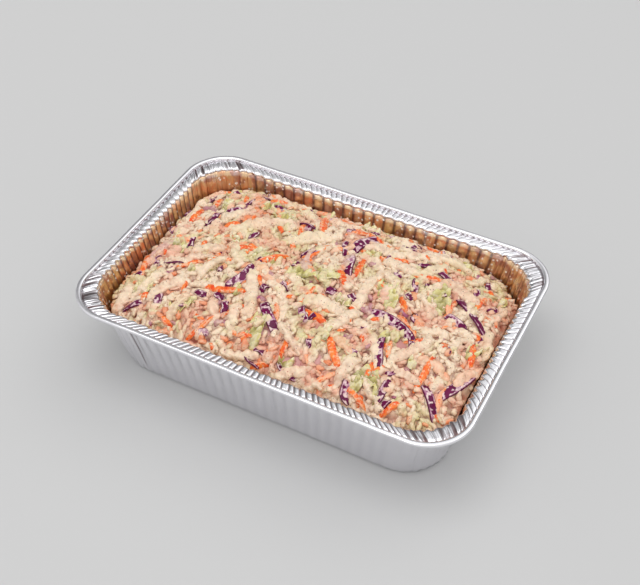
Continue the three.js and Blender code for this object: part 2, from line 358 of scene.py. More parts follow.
def crimps(inset, kind, quarter, share, length):
    """How deep the crimps are at each point, and how deep each one is along its middle.

    A crimp is a narrow groove across the flange: its depth times exp(-(d / width)²) at a distance d, with
    its own depth, width and small slip to one side. The left and back flanges are nearly smooth, with only
    short nicks beside the bead.
    """
    count = per_leg(CRIMPS, kind)
    phase = count * share
    index = np.round(phase).astype(int)
    lottery = np.random.default_rng(5).uniform(0, 1, (3, 4, 3, 64))
    leg = per_leg({"long": 0, "short": 1, "corner": 2}, kind)
    slip, deep, wide = lottery[:, quarter, leg, index % 64]
    away = (phase - index + 0.25 * (slip - 0.5)) * length / count
    right = (kind == "short") & (quarter == 0)
    left = (kind == "short") & (quarter == 2)
    back = (kind == "long") & (quarter == 1)
    broad = np.where(right, CRIMP_WIDTH["right"], np.where(left, CRIMP_WIDTH["left"], 1))
    wide = (0.55 + 0.3 * wide) * broad
    deepest = 0.5 + 0.6 * deep
    crimp = deepest * np.exp(-((away / wide) ** 2))
    nick = np.clip((NICK_REACH - inset) / 1.2, 0.12, 1)
    return crimp * np.where(left, nick, np.where(back, np.clip(nick, 0.3, 1), 1)), deepest


def pressed(profile, counts):
    """The foil's surface: rows of the profile by stations round the tray.

    Three marks go with it, from 0 to 1: its inside, the ridges of its flutes, and painted shade in its
    creases.

    A point is the corner centre plus the corner radius along the station's outward direction. Flutes,
    pleats and folds press it in, crimps press it down, and slow noise bends it as thin foil bends.
    """
    angle, sign, share, kind, quarter = stations_around(counts)
    inset, height, fluted, crimped, inside, seam_shade = (column[:, None] for column in profile)
    corner = np.interp(inset, *zip(*CORNERS))
    outward = np.stack([np.cos(angle), np.sin(angle)], axis=-1)
    centre = (RIM_HALF - inset[..., None] - corner[..., None]) * sign
    plan = centre + corner[..., None] * outward
    place = np.concatenate([plan, np.broadcast_to(height, plan.shape[:2])[..., None]], axis=-1)
    high = np.clip(height / MOUTH_HEIGHT, 0, 1)
    is_corner = kind == "corner"
    length = per_leg(LEG_LENGTHS, kind)
    # Flutes are cosine waves along each side and corner, deepest at the mouth.
    wave = 2 * np.pi * per_leg(FLUTES, kind) * share
    flute = per_leg(FLUTE_DEPTHS, kind) * (0.5 - 0.5 * np.cos(wave)) * (0.55 + 0.45 * high)
    # Pleats gather at the corners, and fade out at each corner's ends.
    ends = np.clip(np.minimum(share, 1 - share) / 0.08, 0, 1)
    along = np.broadcast_to(share * length, place.shape[:2])
    fold = pleats(along, inset, quarter)
    pleat = (PLEAT_DEPTH * fold + CRUMPLE_DEPTH * rumple(place, 2.3, 17)) * (0.3 + 0.7 * high)
    push = fluted * (flute + pleat * is_corner * ends)
    front = (kind == "long") & (quarter == 3)
    # Painted shade darkens the sharp front folds, most along their middles.
    fold_shade = 0
    for at, deep, foot in FRONT_FOLDS:
        dent = np.exp(-(((share - at) * length / FOLD_WIDTH) ** 2)) * front
        push = push + fluted * deep * dent * np.clip((high - foot) / 0.3, 0, 1)
        fold_shade = fold_shade + fluted * deep * dent**4 * np.clip((high - foot) / 0.15, 0, 1)
    crimp, deepest = crimps(inset, kind, quarter, share, length)
    drop = crimped * np.where(is_corner, 0.35 * crimp + CORNER_SAG * fold * ends, crimp)
    bend = sum(far * rumple(place, size, seed) for far, size, seed in WALL_BENDS)
    lift = sum(far * rumple(place, size, seed) for far, size, seed in RIM_BENDS)
    plan = plan + outward * (bend * high - push)[..., None]
    tall = height + (lift - drop) * np.clip(high * 3, 0, 1)
    grid = np.concatenate([plan, tall[..., None]], axis=-1)[None]
    ridge = fluted * np.where(is_corner, 0.5, np.cos(wave) / 2 + 0.5)
    # Painted shade in the creases: the crimps' grooves, the corner pleats' valleys, the lines round the rim
    # and the front folds.
    valley = np.clip(crimp / deepest, 0, 1) ** 1.5
    valley = np.where(is_corner, np.clip(1.6 * fold, 0, 1) * ends, valley)
    crease = np.clip(crimped, 0, 1) * valley + seam_shade + fold_shade
    marks = (inside, ridge, np.clip(crease, 0, 1))
    return grid, [np.broadcast_to(mark, along.shape)[None] for mark in marks]


def with_poles(values):
    """A (tubes, rows, columns) array as skin() orders its points, with each end's mean at its pole."""
    poles = values[:, [0, -1]].mean(axis=2)
    return np.concatenate([values.reshape(len(values), -1), poles], axis=1).ravel()


def foil_finish():
    """Bright rolled aluminium, finely grained and dinted, with a warm film on its inside, which is partly
    dressing and partly a painted reflection of the slaw.

    The film is stained here and there by the red cabbage and the carrot, is painted lighter on the flutes'
    ridges and darker in their troughs, and has white dots of painted glints on it. Painted shade darkens
    the foil's creases, and painted light brightens the ridges of its flutes.
    """
    material, start = finish("pressed_foil")
    inside = start.mark("inside")
    ridge = start.mark("ridge")
    cloud = start.noise(14, 3)
    film = inside * start.noise(9, 3).rise(0.05, 0.5)
    crease = start.mark("crease")
    # Painted light: the flutes' ridges are painted brighter than their troughs.
    bare = (0.65 * cloud + 0.35 * ridge).mix(colour(236, 235, 240), colour(252, 251, 254))
    # Painted shade: the creases, folds and rim lines are darkened to a reddish brown.
    bare = (crease * 0.92).mix(bare, colour(92, 60, 58))
    stain = start.noise(13, 2)
    # The film's colour is partly a painted reflection of the slaw: painted lighter on the flutes' ridges,
    # and below painted darker in their troughs.
    film_and_reflection = ridge.mix(colour(216, 162, 110), colour(254, 222, 174))
    film_and_reflection = (stain.rise(0.52, 0.60) * 0.6).mix(film_and_reflection, colour(164, 84, 96))
    film_and_reflection = (0.4 - stain.rise(0.36, 0.44) * 0.4).mix(film_and_reflection, colour(240, 132, 70))
    film_and_reflection = (ridge.rise(0.0, 0.28) * -0.85 + 0.85).mix(film_and_reflection, colour(86, 48, 34))
    # White dots of painted glints on the inside.
    painted_glints = inside * start.specks(4.2, 1.9, 5.0) * start.noise(30, 1).rise(0.44, 0.52)
    start.surface(
        Base_Color=(painted_glints * 0.9).mix((film * 0.9).mix(bare, film_and_reflection), colour(255, 250, 244)),
        Metallic=1 - painted_glints * 0.8,
        Roughness=0.13 + cloud * 0.12 + film * 0.12,
        Normal=start.bump(start.noise(0.9, 2) * 0.3 + start.noise(2.2, 1), 0.05),
    )
    return material


foil = foil_finish()
body_grid, body_marks = pressed(body_profile(), BODY_STATIONS)
inside, ridge, crease = (with_poles(mark) for mark in body_marks)
foil_tray = solid("pressed_foil_tray", *skin(body_grid), inside=inside, ridge=ridge, crease=crease)
rim_grid, rim_marks = pressed(rim_profile(), RIM_STATIONS)
inside, ridge, crease = (mark.ravel() for mark in rim_marks)
foil_rim = solid("crimped_foil_rim", *skin(rim_grid, ring=True), inside=inside, ridge=ridge, crease=crease)
for piece in (foil_tray, foil_rim):
    piece.data.materials.append(foil)
    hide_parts("foil_tray")
    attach(piece, "root")

# Chopped cabbage: short thick crumbs of leaf and rib, coated in dressing and heaped over the tray's rim.
# They lie tipped all ways on finer ones and on each other, in drifts that lean the same way, with thin
# pink dressing lying flat in some hollows.
SLAW_EDGE = 54
SHOULDER_RISE = 13
SHOULDER_RUN = 34
CROWN_RISE = 7
RIGHT_RISE = 6
DIP_SPREAD = 17
# Dips at the heap's edge: shares of its half length and half width, and depth, below 0 for a rise.
EDGE_DIPS = (
    (1, 1, 15), (1, 0.35, -1), (1, -0.3, -2), (1, -1, 2),
    (-1, 1, 7), (-1, 0.5, 3), (-1, 0, 3.5), (-1, -0.5, 3), (-1, -1, 5),
)
# Slow waves on the heap: height, run along x and along y in a radian, and shift.
SWELLS = ((1.1, 11, 23, 0), (0.9, -31, 9, 1.3))
SLAW_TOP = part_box("coleslaw")[1][2] * 1000
TOP_MARGIN = 1.5
TOP_GIVE = 3
# The slaw's gap to the wall along x, where the flutes are deeper, and along y.
WALL_GAPS = (2.7, 2.0)
# The bed's depth under the heap, and the size and height of its lumps and of the fine crumbs on them.
BED_SINK = 5.2
BED_LUMP = (5.6, 3.0)
CRUMB_LUMP = (3.1, 1.6)
POOL_RISE = 2.4
# Pools of thin dressing: x, y, half length and half width, and heading in degrees.
POOLS = (
    (22, -74, 11, 5, 20),
    (36, -66, 6, 4, -30),
    (24, -47, 7, 4, 60),
    (64, -34, 8, 4, 80),
    (-15, -82, 6, 3.5, 0),
    (-6, -60, 6, 3.5, -40),
    (-58, -32, 6, 4, 20),
    (50, -12, 7, 4, 30),
    (86, -30, 8, 4, -50),
    (-20, 22, 6, 3.5, 30),
    (60, 20, 6, 3.5, -20),
    (118, -38, 7, 4, 70),
)


def wall_half(height):
    """Half length and half width between the tray's walls at a height, and their corner radius."""
    share = height / MOUTH_HEIGHT
    half_x, half_y = (
        half - wall_inset(height) - FOIL - gap for half, gap in zip(RIM_HALF, WALL_GAPS)
    )
    return half_x, half_y, FLOOR_CORNER + (RIM_CORNER - FLOOR_CORNER) * share


def inside_by(x, y, height=SLAW_EDGE):
    """Distance from a plan point to the tray's wall, positive inside, and the direction out to it.

    With q the point's reach past the corner centre, it is the corner radius less |q| at a corner and less
    the larger part of q along a side.
    """
    half_x, half_y, corner = wall_half(height)
    reach_x = np.abs(x) - (half_x - corner)
    reach_y = np.abs(y) - (half_y - corner)
    past_x = np.maximum(reach_x, 0)
    past_y = np.maximum(reach_y, 0)
    past = np.hypot(past_x, past_y)
    away = corner - past - np.minimum(np.maximum(reach_x, reach_y), 0)
    safe = np.maximum(past, 1e-6)
    out_x = np.where(past > 0, past_x / safe, reach_x > reach_y) * np.sign(x)
    out_y = np.where(past > 0, past_y / safe, reach_x <= reach_y) * np.sign(y)
    return away, out_x, out_y


def keep_inside(points):
    """Points of the slaw moved back inside the tray's wall, and pressed down where they stand too high.

    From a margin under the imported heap's top, a rise of r becomes g · (1 - exp(-r / g)) with a give g.
    """
    x, y, height = np.moveaxis(points, -1, 0)
    above = np.maximum(height - SLAW_TOP + TOP_MARGIN, 0)
    height = height - above + TOP_GIVE * (1 - np.exp(-above / TOP_GIVE))
    away, out_x, out_y = inside_by(x, y, height)
    back = np.minimum(away, 0)
    return np.stack([x + out_x * back, y + out_y * back, height], axis=-1)


def heap(x, y):
    """Height of the heap: the edge, a sine shoulder up from the wall, a low crown, dips and swells.

    Towards the right wall the edge stands higher, by the fourth power of the way there from the middle.
    """
    half_x, half_y, _ = wall_half(SLAW_EDGE)
    climb = np.clip(inside_by(x, y)[0] / SHOULDER_RUN, 0, 1)
    height = SLAW_EDGE + SHOULDER_RISE * np.sin(climb * np.pi / 2)
    height = height + CROWN_RISE * (1 - (x / half_x) ** 2) * (1 - (y / half_y) ** 2)
    height = height + RIGHT_RISE * (1 - climb) ** 2 * np.clip(x / half_x, 0, 1) ** 4
    for side_x, side_y, depth in EDGE_DIPS:
        away_x = x - side_x * (half_x - DIP_SPREAD)
        away_y = y - side_y * (half_y - DIP_SPREAD)
        height = height - depth * np.exp(-(away_x**2 + away_y**2) / (2 * DIP_SPREAD**2))
    for rise, across, skew, shift in SWELLS:
        height = height + climb * rise * np.sin(x / across + y / skew + shift)
    return height


def knobs(points, size, seed):
    """Rounded lumps, from 0 between them to 1 on their tops, at points of three coordinates.

    One centre stands at random in each cell of a cubic lattice, and the value is 1 - (d / 0.95 size)² for
    the nearest centre's distance d.
    """
    table = np.random.default_rng(seed).random((3, 32, 32, 32))
    cell = np.floor(points / size).astype(int)
    nearest = np.full(points.shape[:-1], 9.0)
    for step in np.ndindex(3, 3, 3):
        near = cell + step - 1
        i, j, k = np.moveaxis(near % 32, -1, 0)
        away = points / size - near - np.moveaxis(table[:, i, j, k], 0, -1)
        nearest = np.minimum(nearest, (away**2).sum(axis=-1))
    return np.clip(1 - nearest / 0.9, 0, 1)


def on_plan(x, y):
    """Plan points as points of three coordinates, at height 0."""
    return np.stack([x, y, np.zeros_like(x)], axis=-1)


def pooled(x, y):
    """1 inside the pools, 0 outside them, with a soft uneven edge: 1 - a² - b² on each one's ellipse."""
    best = np.full_like(x, -1.0)
    for pool_x, pool_y, long, wide, heading in POOLS:
        turn = np.radians(heading)
        along = (x - pool_x) * np.cos(turn) + (y - pool_y) * np.sin(turn)
        across = (y - pool_y) * np.cos(turn) - (x - pool_x) * np.sin(turn)
        best = np.maximum(best, 1 - (along / long) ** 2 - (across / wide) ** 2)
    uneven = 0.4 * rumple(on_plan(x, y), 4, 26)
    return np.clip((best + uneven) * 3, 0, 1)


def lumps(x, y):
    """Fine crumbs over the plan, from 0 to 1: small lumps, slightly warped."""
    place = on_plan(x, y)
    warp = place + 1.1 * np.stack([rumple(place, 6, 21), rumple(place, 6, 22), place[..., 2]], axis=-1)
    return knobs(warp, CRUMB_LUMP[0], 24)


def bed(x, y):
    """Height of the bed that the crumbs lie on: lumps of two sizes under the heap, flat where it is wet."""
    wet = pooled(x, y)
    relief = BED_LUMP[1] * knobs(on_plan(x, y), BED_LUMP[0], 23) + CRUMB_LUMP[1] * lumps(x, y)
    return heap(x, y) - BED_SINK + relief * (1 - wet) + POOL_RISE * wet


# The dressing's colours: on cabbage, on pale leaf, thinned, by carrot and by red cabbage, a painted shade
# for the hollows between crumbs, and in a pool.
CREAM = colour(252, 228, 199)
PALE_LEAF = colour(232, 220, 164)
BLUSH = colour(242, 176, 148)
PEACH = colour(250, 148, 96)
LILAC = colour(170, 86, 124)
HOLLOW_SHADE = colour(140, 62, 46)
POOL = colour(204, 144, 138)


def tints(points, number, strength):
    """A colour for each point: cream, with patches of pale leaf and of blush, and a few peach or lilac.

    Noises on two scales, with a share of the shred's random number added, set how far the cream goes
    towards pale leaf and blush, times the strength. The highest numbers are peach and lilac.
    """
    flat = points * (1, 1, 0)
    other = (number * 7.3) % 1
    third = (number * 13.7) % 1
    leafy = rumple(flat, 24, 31) + 0.5 * rumple(flat, 6, 33) + 0.5 * (number - 0.5)
    pink = rumple(flat, 19, 32) + 0.6 * rumple(flat, 5, 34) + 0.5 * (other - 0.5)
    leafy = strength * np.clip((leafy - 0.05) / 0.4, 0, 1)[:, None]
    pink = strength * np.clip((pink - 0.02) / 0.45, 0, 1)[:, None]
    cream, pale_leaf, blush, peach, lilac = (
        np.array(shade[:3]) for shade in (CREAM, PALE_LEAF, BLUSH, PEACH, LILAC)
    )
    tint = cream + (pale_leaf - cream) * leafy
    tint = tint + (blush - tint) * pink
    tint = tint + (peach - tint) * strength * (third > 0.9)[:, None]
    return tint + (lilac - tint) * strength * ((third > 0.02) & (third < 0.05))[:, None]


def dressed_finish():
    """Cream dressing over cabbage: the piece's own tint, blotched, with pepper and chilli specks."""
    material, start = finish("cream_dressing")
    tint = start.mark("tint", "Color")
    hollow = start.mark("hollow")
    wet = start.mark("wet")
    blotch = start.noise(4.5, 3).rise(0.4, 0.7)
    base = (blotch * 0.5).mix(tint, CREAM)
    # Painted shade: points sunk or low between lumps go towards a dark reddish brown.
    base = (hollow * 0.92).mix(base, HOLLOW_SHADE)
    base = wet.mix(base, POOL)
    chilli = start.specks(3.2, 0.85, 0.0) * start.noise(9, 1).rise(0.44, 0.54)
    pepper = start.specks(2.8, 0.75, 7.3) * start.noise(7, 1).rise(0.42, 0.52)
    base = (chilli * 0.8).mix(base, colour(176, 52, 40))
    base = (pepper * 0.75).mix(base, colour(70, 34, 36))
    relief = start.noise(1.5, 2) * 0.7 + start.noise(3.0, 2) * 1.5
    start.surface(
        Base_Color=base,
        Roughness=0.29 - wet * 0.14,
        Specular_IOR_Level=0.5,
        Subsurface_Weight=0.12,
        Subsurface_Radius=(1.0, 0.6, 0.4),
        Subsurface_Scale=0.002,
        Normal=start.bump(relief * (1 - wet), 0.42),
    )
    return material


dressing = dressed_finish()
CRUMB_SPACING = 5.6
# The pile is what has been laid so far: its height at every millimetre of x and y to these reaches.
PILE_SIZE = (150, 100)
PILE_CAP = 1.2
UNDER_AT = (-0.3, 0, 0.3)
RAISED_TO = 0.4
RAISED_WITHIN = 0.45

pile_y, pile_x = np.mgrid[-PILE_SIZE[1] : PILE_SIZE[1] + 1, -PILE_SIZE[0] : PILE_SIZE[0] + 1].astype(float)
pile = bed(pile_x, pile_y)


def shred_paths(rows, steps, wander, seed):
    """Plan paths of shreds as (shreds, steps) arrays of x, y and direction, with each step's share.

    A path is an arc: its direction turns evenly by the row's bend, about the heading at its middle. A slow
    wave of the given size sways it.
    """
    lottery = np.random.default_rng(seed)
    x, y, heading, length, bend, _ = (column[:, None] for column in rows.T)
    share = np.linspace(-0.5, 0.5, steps)[None]
    middle = np.radians(heading + bend * share / 2)
    direction = np.radians(heading + bend * share)
    phase = lottery.uniform(0, 2 * np.pi, (len(rows), 1))
    waves = lottery.uniform(0.6, 1.3, (len(rows), 1))
    sway = wander * np.sin(2 * np.pi * waves * share + phase)
    path_x = x + np.cos(middle) * length * share - np.sin(direction) * sway
    path_y = y + np.sin(middle) * length * share + np.cos(direction) * sway
    return path_x, path_y, direction, share


def lay(rows, flat, steps, sink, dive, wander, stiff, seed):
    """Lays shreds on the pile one after another, and raises the pile under each.

    A shred's height follows a low-order curve through what lies under it, less its sunk part, and its two
    ends dive by dive times its thickness, which is flat times its width. The curve is kept under a cap
    over the heap, so that shreds never stack up above it. What lies under is read along three lines, set
    off by shares of the width. Within a share of the width the pile rises to a share of the thickness
    over the shred's middle.
    """
    path_x, path_y, direction, share = shred_paths(rows, steps, wander, seed)
    cap = heap(path_x, path_y) + PILE_CAP
    height = np.zeros_like(path_x)
    for i, (_, _, _, length, _, width) in enumerate(rows):
        thick = flat * width
        off = np.array(UNDER_AT)[:, None] * width
        column = np.rint(path_x[i] - off * np.sin(direction[i]) + PILE_SIZE[0]).astype(int)
        row = np.rint(path_y[i] + off * np.cos(direction[i]) + PILE_SIZE[1]).astype(int)
        under = pile[np.clip(row, 0, 2 * PILE_SIZE[1]), np.clip(column, 0, 2 * PILE_SIZE[0])].mean(axis=0)
        curve = np.polynomial.polynomial.polyfit(share[0], under, stiff)
        rest = np.minimum(np.polynomial.polynomial.polyval(share[0], curve), cap[i])
        height[i] = rest + thick * (0.5 - sink) - dive * thick * np.abs(2 * share[0]) ** 4
        low_x = int(path_x[i].min() - width / 2 + PILE_SIZE[0])
        low_y = int(path_y[i].min() - width / 2 + PILE_SIZE[1])
        window = np.s_[
            max(low_y, 0) : int(path_y[i].max() + width / 2 + PILE_SIZE[1]) + 2,
            max(low_x, 0) : int(path_x[i].max() + width / 2 + PILE_SIZE[0]) + 2,
        ]
        gap = np.hypot(pile_x[window][..., None] - path_x[i], pile_y[window][..., None] - path_y[i])
        top = height[i][gap.argmin(axis=-1)] + thick * RAISED_TO
        covered = gap.min(axis=-1) < width * RAISED_WITHIN
        pile[window] = np.where(covered, np.maximum(pile[window], top), pile[window])
    return path_x, path_y, height, direction, share


def shreds(
    rows, flat, steps, around, square, sink, dive, seed, lean, wander, stiff, taper, knobby=(), grooved=0
):
    """Shreds as a (shreds, steps, around, 3) grid of points, with each one's place across and its lowness.

    The section is a superellipse of the given squareness, as wide as the row says and flat times as thick,
    leant to one side and slowly twisted. It narrows to both ends as (1 - |2s|^taper)^½. Each (size,
    height) of knobby raises rounded lumps of that size and height on it, and grooved is the height of
    ridges along it: noise that is six times as long as it is wide. Lowness is 1 between the lumps.
    """
    lottery = np.random.default_rng(seed + 1)
    path_x, path_y, height, direction, share = lay(rows, flat, steps, sink, dive, wander, stiff, seed)
    centre = np.stack([path_x, path_y, height], axis=-1)
    ahead = np.gradient(centre, axis=1)
    ahead = ahead / np.linalg.norm(ahead, axis=-1, keepdims=True)
    side = np.stack([-np.sin(direction), np.cos(direction), np.zeros_like(direction)], axis=-1)
    up = np.cross(ahead, side)
    roll = lottery.normal(0, lean, (len(rows), 1)) + lottery.normal(0, lean, (len(rows), 1)) * 2 * share
    side_leant = (side * np.cos(roll)[..., None] + up * np.sin(roll)[..., None])[:, :, None]
    up_leant = (up * np.cos(roll)[..., None] - side * np.sin(roll)[..., None])[:, :, None]
    turn = 2 * np.pi * np.arange(around) / around
    across = np.sign(np.cos(turn)) * np.abs(np.cos(turn)) ** (2 / square)
    over = np.sign(np.sin(turn)) * np.abs(np.sin(turn)) ** (2 / square)
    narrow = np.sqrt(np.maximum(1 - np.abs(1.96 * share) ** taper, 0.02))[..., None]
    half = rows[:, 5][:, None, None] / 2 * narrow
    grid = centre[:, :, None] + side_leant * (half * across)[..., None]
    grid = grid + up_leant * (half * flat * over)[..., None]
    outward = side_leant * (flat * across)[:, None] + up_leant * over[:, None]
    outward = outward / np.maximum(np.linalg.norm(outward, axis=-1, keepdims=True), 1e-6)
    low = np.zeros(grid.shape[:3])
    for step, (size, raised) in enumerate(knobby, 1):
        lump = knobs(grid, size, seed + step)
        grid = grid + outward * ((lump - 0.45) * raised * narrow)[..., None]
        low = low + (1 - lump) ** 2 / len(knobby)
    if grooved:
        number = np.arange(len(rows))[:, None, None]
        local = np.broadcast_arrays(half * across, (rows[:, 3:4] * share)[..., None] / 6, number * 7.7)
        ridges = rumple(np.stack(local, axis=-1), 1.5, seed + len(knobby))
        grid = grid + outward * (ridges * grooved * narrow)[..., None]
    return grid, np.broadcast_to(across, grid.shape[:3]), np.clip(low, 0, 1)


def each_point(grid, values):
    """One value for each point that skin() makes of a grid, from one value for each tube."""
    _, rows, columns, _ = grid.shape
    return np.repeat(values, rows * columns + 2, axis=0)


def scattered(spacing, lengths, widths, bend, clear, seed):
    """Rows of small pieces at every point of a jittered lattice inside the tray, in a random order.

    Their headings follow a slow noise, with some spread, and pools are left bare.
    """
    lottery = np.random.default_rng(seed)
    half_x, half_y, _ = wall_half(SLAW_EDGE)
    x, y = np.meshgrid(np.arange(-half_x, half_x, spacing), np.arange(-half_y, half_y, spacing))
    x = x.ravel() + lottery.normal(0, 0.4 * spacing, x.size)
    y = y.ravel() + lottery.normal(0, 0.4 * spacing, y.size)
    kept = (inside_by(x, y)[0] > clear) & (pooled(x, y) < 0.3)
    x = x[kept]
    y = y[kept]
    drift = rumple(on_plan(x, y), 28, seed + 1)
    heading = 180 * drift + lottery.normal(0, 40, x.size)
    length = lottery.uniform(*lengths, x.size)
    width = lottery.uniform(*widths, x.size)
    turn = lottery.uniform(-bend, bend, x.size)
    return lottery.permutation(np.stack([x, y, heading, length, turn, width], axis=-1))


def chopped(rows, flat, sink, seed):
    """Small chunks laid on the pile: short tubes of eight sides, each corner moved in or out at random."""
    grid, _, _ = shreds(
        rows, flat, steps=6, around=8, square=2.4, sink=sink, dive=0.3, seed=seed, lean=0.4, wander=0.2,
        stiff=1, taper=5,
    )
    centre = grid.mean(axis=2, keepdims=True)
    swell = np.random.default_rng(seed + 2).uniform(0.82, 1.18, grid.shape[:3])
    return keep_inside(centre + (grid - centre) * swell[..., None])


def level(x, y, reach):
    """The pile's mean height over a square that reaches so many millimetres each way from a plan point."""
    near = range(-reach, reach + 1)
    mean = sum(np.roll(pile, (i, j), axis=(0, 1)) for i in near for j in near) / len(near) ** 2
    column = np.clip(x + PILE_SIZE[0], 0, 2 * PILE_SIZE[0] - 0.001)
    row = np.clip(y + PILE_SIZE[1], 0, 2 * PILE_SIZE[1] - 0.001)
    j = column.astype(int)
    i = row.astype(int)
    right = column - j
    lower = mean[i, j] * (1 - right) + mean[i, j + 1] * right
    upper = mean[i + 1, j] * (1 - right) + mean[i + 1, j + 1] * right
    return lower + (upper - lower) * (row - i)


def sunken(points):
    """How far points lie under the pile's level, from 0 just over it to 1 at 1.8 mm below it."""
    return np.clip((level(points[:, 0], points[:, 1], 3) - points[:, 2] + 0.2) / 2.0, 0, 1)


def add_dressed(name, grid, number, strength, low):
    """A piece of coated cabbage from a grid of shreds, with a random number for each shred's tint."""
    points, quads, ends = skin(grid)
    tint = tints(points, each_point(grid, number), strength)
    # Painted shade where points lie sunk under the pile's level or low between lumps.
    hollow = np.maximum(sunken(points), low)
    piece = solid(name, points, quads, ends, tint=tint, hollow=hollow, wet=np.zeros(len(points)))
    piece.data.materials.append(dressing)
    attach(piece, "root")


def add_crumbs(name, rows, flat, sink, strength, seed):
    """A piece of chopped cabbage laid on the pile, some crumbs a little darker than others."""
    grid = chopped(rows, flat, sink, seed)
    number = np.random.default_rng(seed + 5).random(len(rows))
    add_dressed(name, grid, number, strength, each_point(grid, 0.2 * number))


crumb_rows = scattered(
    CRUMB_SPACING, lengths=(5, 12), widths=(3.4, 6.2), bend=60, clear=2.2, seed=33
)
add_crumbs("chopped_cabbage", crumb_rows, flat=0.6, sink=0.52, strength=1.0, seed=34)

# Green leaf: thin crinkled pieces of the cabbage's outer leaf, pale and translucent, with some dressing
# caught in their folds. A row is x, y, heading in degrees, length, turn of its curve, and width.
GREEN_LEAVES = (
    (89, 24, -55, 32, 10, 19),
    (-4, 3, 15, 44, 15, 17),
    (72, -68, -110, 24, 20, 10),
    (84, -70, -55, 24, -20, 10),
    (-14, -64, -72, 28, 0, 13),
    (55, 10, -70, 32, 10, 15),
    (-113, -10, -50, 20, 0, 11),
    (-105, 52, -80, 22, 0, 10),
    (10, 78, 10, 16, 0, 9),
    (30, -12, -10, 14, 0, 7),
    (-75, -65, 60, 22, 0, 12),
    (-55, 50, 10, 18, 0, 10),
    (-70, 60, 40, 20, 0, 9),
)


def spread(count, taken, lengths, widths, turn, clear, seed):
    """More shreds, each at the one of several random places that is furthest from all others so far."""
    lottery = np.random.default_rng(seed)
    half_x, half_y, _ = wall_half(SLAW_EDGE)
    places = np.array(taken, dtype=float)[:, :2]
    rows = []
    while len(rows) < count:
        tries = lottery.uniform(-1, 1, (16, 2)) * (half_x, half_y)
        heading = lottery.uniform(0, 360)
        length = lottery.uniform(*lengths)
        width = lottery.uniform(*widths)
        bend = lottery.uniform(-turn, turn)
        reach = np.array([np.cos(np.radians(heading)), np.sin(np.radians(heading))]) * length / 2
        ends = [inside_by(*(tries + side * reach).T)[0] for side in (-1, 0, 1)]
        tries = tries[np.min(ends, axis=0) > clear + width / 2]
        if len(tries) == 0:
            continue
        room = np.linalg.norm(tries[:, None] - places[None], axis=-1).min(axis=1)
        place = tries[room.argmax()]
        places = np.concatenate([places, place[None]])
        rows.append((*place, heading, length, bend, width))
    return np.array(rows)


def crinkled(grid, height, seed):
    """Flat shreds with both faces moved up and down together, and how low each point is.

    The wave is 1.6 |n| - 0.5 times the height, where n is noise of two sizes, so it has sharp creases.
    """
    plan = grid * (1, 1, 0)
    wave = rumple(plan, 5.0, seed) + 0.6 * rumple(plan, 2.6, seed + 1)
    wave = np.abs(wave) * 1.6 - 0.5
    return grid + wave[..., None] * np.array([0.3, 0.3, 1]) * height, np.clip(0.6 - 1.2 * wave, 0, 1)


def leaf_finish():
    """Wet cabbage leaf: yellow-green with pale veins, a film of dressing, and painted shade in its folds.
    """
    material, start = finish("green_cabbage_leaf")
    tone = start.mark("tone")
    low = start.mark("low")
    veins = start.noise(4.6, 2).rise(0.38, 0.62)
    film = start.noise(5.5, 2).rise(0.50, 0.62)
    base = veins.mix(colour(222, 208, 140), colour(250, 240, 200))
    base = (tone * 0.4).mix(base, colour(212, 200, 112))
    base = (film * 0.6).mix(base, colour(250, 236, 204))
    # Painted shade: the leaf's low folds are darkened to olive green.
    base = (low * 0.9).mix(base, colour(146, 134, 58))
    start.surface(
        Base_Color=base,
        Roughness=0.24,
        Subsurface_Weight=0.2,
        Subsurface_Radius=(0.8, 1.0, 0.3),
        Subsurface_Scale=0.002,
        Normal=start.bump(start.noise(1.8, 2) + film * 0.8, 0.35),
    )
    return material


leaf_rows = np.concatenate(
    [
        spread(16, GREEN_LEAVES, lengths=(12, 24), widths=(6, 12), turn=40, clear=1.5, seed=51),
        GREEN_LEAVES,
    ]
)
leaf_grid, _, _ = shreds(
    leaf_rows, flat=0.09, steps=30, around=30, square=3.0, sink=-0.5, dive=2.5, seed=52, lean=0.18,
    wander=1.0, stiff=3, taper=4,
)
leaf_grid, leaf_low = crinkled(leaf_grid, height=3.4, seed=53)
leaf_grid = keep_inside(leaf_grid)
leaf_tone = np.random.default_rng(54).uniform(0, 1, len(leaf_rows))
green_leaves = solid(
    "green_leaf_pieces",
    *skin(leaf_grid),
    tone=each_point(leaf_grid, leaf_tone),
    low=with_poles(leaf_low),
)
green_leaves.data.materials.append(leaf_finish())
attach(green_leaves, "root")

# White cabbage shreds: strips of leaf and rib, wholly coated in thick lumpy dressing, lying all ways over
# the crumbs and half sunk in them. The first are broad, and the second fill in between them.
STRIP_LUMPS = ((6.0, 2.2), (3.3, 1.7), (1.9, 0.6))


def add_shreds(name, rows, strength, seed):
    """A piece of knobbly coated strips laid on the pile, with painted shade in their dents."""
    grid, _, low = shreds(
        rows, flat=0.5, steps=44, around=18, square=2.8, sink=0.5, dive=1.0, seed=seed, lean=0.25,
        wander=1.2, stiff=4, taper=4, knobby=STRIP_LUMPS, grooved=0.6,
    )
    number = np.random.default_rng(seed + 9).random(len(rows))
    add_dressed(name, keep_inside(grid), number, strength, with_poles(0.8 * low))


